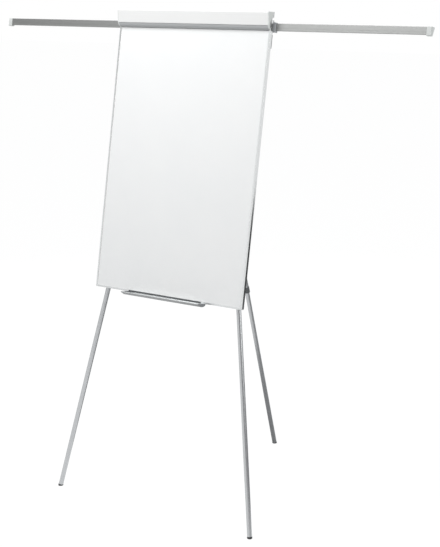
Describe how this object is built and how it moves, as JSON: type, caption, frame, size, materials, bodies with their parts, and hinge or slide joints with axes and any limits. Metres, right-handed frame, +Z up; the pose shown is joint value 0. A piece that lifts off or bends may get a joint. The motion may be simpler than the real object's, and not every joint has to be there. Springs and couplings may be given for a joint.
{
  "type": "flipchart easel",
  "caption": "Tripod flipchart easel with a tilted white board, flip-up pad clamp, sliding display arms, pen tray and telescopic folding legs with twist locks.",
  "frame": {"origin": "on the floor, at the centre of the footprint box of the three feet and the middle of the width", "axes": "+X to the right seen from the front, +Y to the rear leg, +Z up; the board faces -Y"},
  "size_m": [1.94, 0.935, 1.904],
  "materials": {
    "white_enamel": "gloss enamel on thin steel",
    "honeycomb": "raw board",
    "liner_grey": "plain mill finish sheet",
    "frame_aluminium": "satin anodised",
    "rail_anodised": "satin grey anodised",
    "white_plastic": "smooth extruded",
    "pale_plastic": "fine moulded",
    "grip_rubber": "matt",
    "grey_plastic": "fine moulded",
    "dark_plastic": "fine moulded",
    "nylon": "natural nylon",
    "arm_aluminium": "satin anodised",
    "hub_steel": "satin grey powder coat",
    "cast_alloy": "die cast",
    "silver_tube": "satin silver paint",
    "tray_aluminium": "satin anodised",
    "pin_steel": "bright zinc",
    "screw_zinc": "bright zinc"
  },
  "bodies": {
    "board": {"writing_sheet": "white_enamel", "panel_core": "honeycomb", "back_liner": "liner_grey", "frame_left": "frame_aluminium", "frame_right": "frame_aluminium", "frame_bottom": "frame_aluminium", "frame_corner_plugs": "pale_plastic", "clamp_rail": "rail_anodised", "clamp_rail_screws": "screw_zinc", "clamp_hinge_rod": "pin_steel", "clamp_springs": "pin_steel", "arm_rail": "arm_aluminium", "arm_rail_screws": "screw_zinc", "arm_bush_left": "grey_plastic", "arm_bush_right": "grey_plastic", "hub_plate": "hub_steel", "hub_screws": "screw_zinc", "front_pivot_bolts": "pin_steel", "rear_clevis": "cast_alloy", "rear_hinge_pin": "pin_steel", "leg_hook_left": "hub_steel", "leg_hook_right": "hub_steel", "leg_hook_screws": "screw_zinc", "pen_tray": "tray_aluminium", "tray_end_caps": "grey_plastic", "tray_screws": "screw_zinc"},
    "clamp": {"clamp_bar": "white_plastic", "clamp_jaw": "rail_anodised", "clamp_end_left": "pale_plastic", "clamp_end_right": "pale_plastic", "clamp_grip_strip": "grip_rubber"},
    "peg_left": {"pad_peg_left": "dark_plastic"},
    "peg_right": {"pad_peg_right": "dark_plastic"},
    "arm_left": {"arm_left": "arm_aluminium", "arm_glide_left": "dark_plastic", "arm_cap_left": "pale_plastic"},
    "arm_right": {"arm_right": "arm_aluminium", "arm_glide_right": "dark_plastic", "arm_cap_right": "pale_plastic"},
    "leg_left": {"knuckle_left": "dark_plastic", "upper_tube_left": "silver_tube", "grip_ring_left": "nylon"},
    "collar_left": {"lock_collar_left": "dark_plastic"},
    "lower_leg_left": {"lower_tube_left": "silver_tube", "glide_plug_left": "nylon", "foot_left": "grip_rubber"},
    "leg_right": {"knuckle_right": "dark_plastic", "upper_tube_right": "silver_tube", "grip_ring_right": "nylon"},
    "collar_right": {"lock_collar_right": "dark_plastic"},
    "lower_leg_right": {"lower_tube_right": "silver_tube", "glide_plug_right": "nylon", "foot_right": "grip_rubber"},
    "leg_rear": {"knuckle_rear": "dark_plastic", "upper_tube_rear": "silver_tube", "grip_ring_rear": "nylon"},
    "collar_rear": {"lock_collar_rear": "dark_plastic"},
    "lower_leg_rear": {"lower_tube_rear": "silver_tube", "glide_plug_rear": "nylon", "foot_rear": "grip_rubber"}
  },
  "joints": [
    {"name": "clamp_flip", "type": "hinge", "parent": "board", "child": "clamp", "pos_m": [0, -0.14184, 1.88723], "axis": [-1, 0, 0], "range_deg": [0, 95], "stiffness_Nm_per_rad": 0.2, "springref_deg": -34.38, "deforming": ["clamp_springs"]},
    {"name": "peg_slide_left", "type": "slide", "parent": "board", "child": "peg_left", "axis": [-1, 0, 0], "range_m": [-0.1, 0.15]},
    {"name": "peg_slide_right", "type": "slide", "parent": "board", "child": "peg_right", "axis": [1, 0, 0], "range_m": [-0.1, 0.15]},
    {"name": "arm_slide_left", "type": "slide", "parent": "board", "child": "arm_left", "axis": [-1, 0, 0], "range_m": [-0.598, 0]},
    {"name": "arm_slide_right", "type": "slide", "parent": "board", "child": "arm_right", "axis": [1, 0, 0], "range_m": [-0.598, 0]},
    {"name": "leg_swing_left", "type": "hinge", "parent": "board", "child": "leg_left", "pos_m": [-0.1327, -0.13155, 1.79287], "axis": [0, -0.9839, 0.1788], "range_deg": [0, 10.2]},
    {"name": "leg_swing_right", "type": "hinge", "parent": "board", "child": "leg_right", "pos_m": [0.1327, -0.13155, 1.79287], "axis": [0, 0.9839, -0.1788], "range_deg": [0, 10.2]},
    {"name": "leg_fold_rear", "type": "hinge", "parent": "board", "child": "leg_rear", "pos_m": [0, -0.10758, 1.80173], "axis": [-1, 0, 0], "range_deg": [0, 27.7]},
    {"name": "collar_twist_left", "type": "hinge", "parent": "leg_left", "child": "collar_left", "pos_m": [-0.1327, -0.13155, 1.79287], "axis": [-0.1771, -0.176, -0.9683], "range_deg": [0, 90]},
    {"name": "collar_twist_right", "type": "hinge", "parent": "leg_right", "child": "collar_right", "pos_m": [0.1327, -0.13155, 1.79287], "axis": [0.1771, -0.176, -0.9683], "range_deg": [0, 90]},
    {"name": "collar_twist_rear", "type": "hinge", "parent": "leg_rear", "child": "collar_rear", "pos_m": [0, -0.10758, 1.80173], "axis": [0, 0.299, -0.9542], "range_deg": [0, 90]},
    {"name": "leg_slide_left", "type": "slide", "parent": "leg_left", "child": "lower_leg_left", "axis": [-0.1771, -0.176, -0.9683], "range_m": [-0.7, 0]},
    {"name": "leg_slide_right", "type": "slide", "parent": "leg_right", "child": "lower_leg_right", "axis": [0.1771, -0.176, -0.9683], "range_m": [-0.7, 0]},
    {"name": "leg_slide_rear", "type": "slide", "parent": "leg_rear", "child": "lower_leg_rear", "axis": [0, 0.299, -0.9542], "range_m": [-0.7, 0]}
  ]
}
